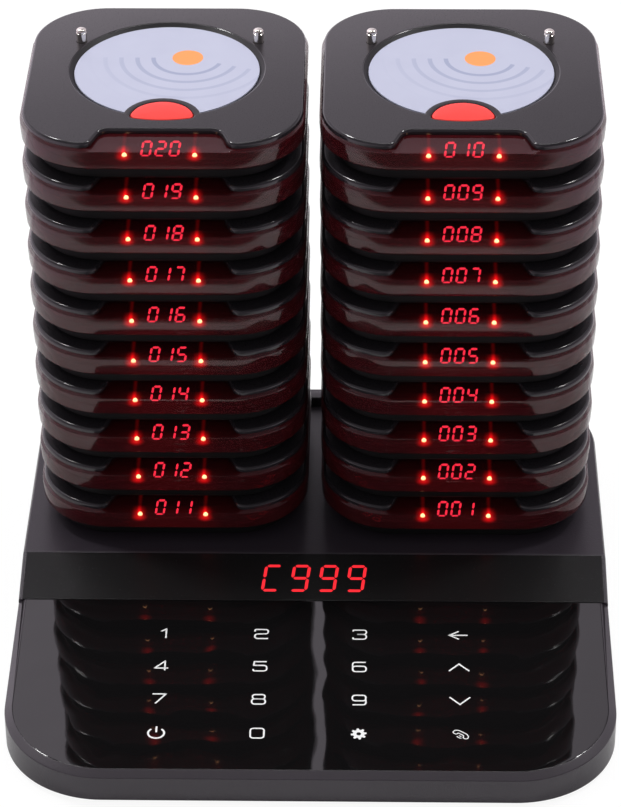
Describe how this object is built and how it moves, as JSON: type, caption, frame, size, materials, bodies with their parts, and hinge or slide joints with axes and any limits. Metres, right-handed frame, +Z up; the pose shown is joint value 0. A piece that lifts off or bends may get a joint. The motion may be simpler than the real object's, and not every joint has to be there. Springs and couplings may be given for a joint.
{
  "type": "guest pager system",
  "caption": "Charging base with a touch panel and a digit display, carrying stacks of lift-off coaster pagers with red window bands, push buttons and charging pins.",
  "frame": {"origin": "on the table plane, under the middle of the base's outline", "axes": "+X to the right along the base's width, +Y towards the back, away from the touch panel, +Z up the stacks"},
  "size_m": [0.2026, 0.208, 0.188],
  "materials": {
    "base_case": "fine-grained dark grey plastic",
    "base_bottom": "matte black plastic",
    "touch_panel": "glossy black touch panel",
    "pcb": "green circuit board",
    "display_window": "smoked window",
    "display": "red seven-segment digits",
    "charging_pins": "polished nickel",
    "rubber": "black rubber",
    "socket": "black plastic",
    "pager_shell": "satin dark grey plastic",
    "red_band": "dark red translucent plastic",
    "bottom_cover": "matte black plastic",
    "label": "pale satin printed disc",
    "button_red": "red satin plastic"
  },
  "bodies": {
    "base": {"base_upper_case": "base_case", "base_bottom_cover": "base_bottom", "touch_panel": "touch_panel", "touch_board": "pcb", "display_window": "display_window", "display_module": "display", "main_board": "pcb", "charging_posts": "charging_pins", "rubber_feet": "rubber", "dc_socket": "socket"},
    "pager_001": {"pager_001": "pager_shell"},
    "pager_001_button": {"pager_001_button": "button_red"},
    "pager_002": {"pager_002": "pager_shell"},
    "pager_002_button": {"pager_002_button": "button_red"},
    "pager_003": {"pager_003": "pager_shell"},
    "pager_003_button": {"pager_003_button": "button_red"},
    "pager_004": {"pager_004": "pager_shell"},
    "pager_004_button": {"pager_004_button": "button_red"},
    "pager_005": {"pager_005": "pager_shell"},
    "pager_005_button": {"pager_005_button": "button_red"},
    "pager_006": {"pager_006": "pager_shell"},
    "pager_006_button": {"pager_006_button": "button_red"},
    "pager_007": {"pager_007": "pager_shell"},
    "pager_007_button": {"pager_007_button": "button_red"},
    "pager_008": {"pager_008": "pager_shell"},
    "pager_008_button": {"pager_008_button": "button_red"},
    "pager_009": {"pager_009": "pager_shell"},
    "pager_009_button": {"pager_009_button": "button_red"},
    "pager_010": {"pager_010_top_cover": "pager_shell", "pager_010_window_band": "red_band", "pager_010_bottom_cover": "bottom_cover", "pager_010_label_disc": "label", "pager_010_charging_pins": "charging_pins", "pager_010_electronics": "pcb"},
    "pager_010_button": {"pager_010_button": "button_red"},
    "pager_011": {"pager_011": "pager_shell"},
    "pager_011_button": {"pager_011_button": "button_red"},
    "pager_012": {"pager_012": "pager_shell"},
    "pager_012_button": {"pager_012_button": "button_red"},
    "pager_013": {"pager_013": "pager_shell"},
    "pager_013_button": {"pager_013_button": "button_red"},
    "pager_014": {"pager_014": "pager_shell"},
    "pager_014_button": {"pager_014_button": "button_red"},
    "pager_015": {"pager_015": "pager_shell"},
    "pager_015_button": {"pager_015_button": "button_red"},
    "pager_016": {"pager_016": "pager_shell"},
    "pager_016_button": {"pager_016_button": "button_red"},
    "pager_017": {"pager_017": "pager_shell"},
    "pager_017_button": {"pager_017_button": "button_red"},
    "pager_018": {"pager_018": "pager_shell"},
    "pager_018_button": {"pager_018_button": "button_red"},
    "pager_019": {"pager_019": "pager_shell"},
    "pager_019_button": {"pager_019_button": "button_red"},
    "pager_020": {"pager_020_top_cover": "pager_shell", "pager_020_window_band": "red_band", "pager_020_bottom_cover": "bottom_cover", "pager_020_label_disc": "label", "pager_020_charging_pins": "charging_pins", "pager_020_electronics": "pcb"},
    "pager_020_button": {"pager_020_button": "button_red"}
  },
  "joints": [
    {"name": "lift_001", "type": "slide", "parent": "base", "child": "pager_001", "axis": [0, 0, 1], "range_m": [0, 0.025]},
    {"name": "lift_002", "type": "slide", "parent": "pager_001", "child": "pager_002", "axis": [0, 0, 1], "range_m": [0, 0.025]},
    {"name": "lift_003", "type": "slide", "parent": "pager_002", "child": "pager_003", "axis": [0, 0, 1], "range_m": [0, 0.025]},
    {"name": "lift_004", "type": "slide", "parent": "pager_003", "child": "pager_004", "axis": [0, 0, 1], "range_m": [0, 0.025]},
    {"name": "lift_005", "type": "slide", "parent": "pager_004", "child": "pager_005", "axis": [0, 0, 1], "range_m": [0, 0.025]},
    {"name": "lift_006", "type": "slide", "parent": "pager_005", "child": "pager_006", "axis": [0, 0, 1], "range_m": [0, 0.025]},
    {"name": "lift_007", "type": "slide", "parent": "pager_006", "child": "pager_007", "axis": [0, 0, 1], "range_m": [0, 0.025]},
    {"name": "lift_008", "type": "slide", "parent": "pager_007", "child": "pager_008", "axis": [0, 0, 1], "range_m": [0, 0.025]},
    {"name": "lift_009", "type": "slide", "parent": "pager_008", "child": "pager_009", "axis": [0, 0, 1], "range_m": [0, 0.025]},
    {"name": "lift_010", "type": "slide", "parent": "pager_009", "child": "pager_010", "axis": [0, 0, 1], "range_m": [0, 0.025]},
    {"name": "lift_011", "type": "slide", "parent": "base", "child": "pager_011", "axis": [0, 0, 1], "range_m": [0, 0.025]},
    {"name": "lift_012", "type": "slide", "parent": "pager_011", "child": "pager_012", "axis": [0, 0, 1], "range_m": [0, 0.025]},
    {"name": "lift_013", "type": "slide", "parent": "pager_012", "child": "pager_013", "axis": [0, 0, 1], "range_m": [0, 0.025]},
    {"name": "lift_014", "type": "slide", "parent": "pager_013", "child": "pager_014", "axis": [0, 0, 1], "range_m": [0, 0.025]},
    {"name": "lift_015", "type": "slide", "parent": "pager_014", "child": "pager_015", "axis": [0, 0, 1], "range_m": [0, 0.025]},
    {"name": "lift_016", "type": "slide", "parent": "pager_015", "child": "pager_016", "axis": [0, 0, 1], "range_m": [0, 0.025]},
    {"name": "lift_017", "type": "slide", "parent": "pager_016", "child": "pager_017", "axis": [0, 0, 1], "range_m": [0, 0.025]},
    {"name": "lift_018", "type": "slide", "parent": "pager_017", "child": "pager_018", "axis": [0, 0, 1], "range_m": [0, 0.025]},
    {"name": "lift_019", "type": "slide", "parent": "pager_018", "child": "pager_019", "axis": [0, 0, 1], "range_m": [0, 0.025]},
    {"name": "lift_020", "type": "slide", "parent": "pager_019", "child": "pager_020", "axis": [0, 0, 1], "range_m": [0, 0.025]},
    {"name": "press_001", "type": "slide", "parent": "pager_001", "child": "pager_001_button", "axis": [0, 0, -1], "range_m": [0, 0.0006], "stiffness_N_per_m": 600},
    {"name": "press_002", "type": "slide", "parent": "pager_002", "child": "pager_002_button", "axis": [0, 0, -1], "range_m": [0, 0.0006], "stiffness_N_per_m": 600},
    {"name": "press_003", "type": "slide", "parent": "pager_003", "child": "pager_003_button", "axis": [0, 0, -1], "range_m": [0, 0.0006], "stiffness_N_per_m": 600},
    {"name": "press_004", "type": "slide", "parent": "pager_004", "child": "pager_004_button", "axis": [0, 0, -1], "range_m": [0, 0.0006], "stiffness_N_per_m": 600},
    {"name": "press_005", "type": "slide", "parent": "pager_005", "child": "pager_005_button", "axis": [0, 0, -1], "range_m": [0, 0.0006], "stiffness_N_per_m": 600},
    {"name": "press_006", "type": "slide", "parent": "pager_006", "child": "pager_006_button", "axis": [0, 0, -1], "range_m": [0, 0.0006], "stiffness_N_per_m": 600},
    {"name": "press_007", "type": "slide", "parent": "pager_007", "child": "pager_007_button", "axis": [0, 0, -1], "range_m": [0, 0.0006], "stiffness_N_per_m": 600},
    {"name": "press_008", "type": "slide", "parent": "pager_008", "child": "pager_008_button", "axis": [0, 0, -1], "range_m": [0, 0.0006], "stiffness_N_per_m": 600},
    {"name": "press_009", "type": "slide", "parent": "pager_009", "child": "pager_009_button", "axis": [0, 0, -1], "range_m": [0, 0.0006], "stiffness_N_per_m": 600},
    {"name": "press_010", "type": "slide", "parent": "pager_010", "child": "pager_010_button", "axis": [0, 0, -1], "range_m": [0, 0.0006], "stiffness_N_per_m": 600},
    {"name": "press_011", "type": "slide", "parent": "pager_011", "child": "pager_011_button", "axis": [0, 0, -1], "range_m": [0, 0.0006], "stiffness_N_per_m": 600},
    {"name": "press_012", "type": "slide", "parent": "pager_012", "child": "pager_012_button", "axis": [0, 0, -1], "range_m": [0, 0.0006], "stiffness_N_per_m": 600},
    {"name": "press_013", "type": "slide", "parent": "pager_013", "child": "pager_013_button", "axis": [0, 0, -1], "range_m": [0, 0.0006], "stiffness_N_per_m": 600},
    {"name": "press_014", "type": "slide", "parent": "pager_014", "child": "pager_014_button", "axis": [0, 0, -1], "range_m": [0, 0.0006], "stiffness_N_per_m": 600},
    {"name": "press_015", "type": "slide", "parent": "pager_015", "child": "pager_015_button", "axis": [0, 0, -1], "range_m": [0, 0.0006], "stiffness_N_per_m": 600},
    {"name": "press_016", "type": "slide", "parent": "pager_016", "child": "pager_016_button", "axis": [0, 0, -1], "range_m": [0, 0.0006], "stiffness_N_per_m": 600},
    {"name": "press_017", "type": "slide", "parent": "pager_017", "child": "pager_017_button", "axis": [0, 0, -1], "range_m": [0, 0.0006], "stiffness_N_per_m": 600},
    {"name": "press_018", "type": "slide", "parent": "pager_018", "child": "pager_018_button", "axis": [0, 0, -1], "range_m": [0, 0.0006], "stiffness_N_per_m": 600},
    {"name": "press_019", "type": "slide", "parent": "pager_019", "child": "pager_019_button", "axis": [0, 0, -1], "range_m": [0, 0.0006], "stiffness_N_per_m": 600},
    {"name": "press_020", "type": "slide", "parent": "pager_020", "child": "pager_020_button", "axis": [0, 0, -1], "range_m": [0, 0.0006], "stiffness_N_per_m": 600}
  ]
}
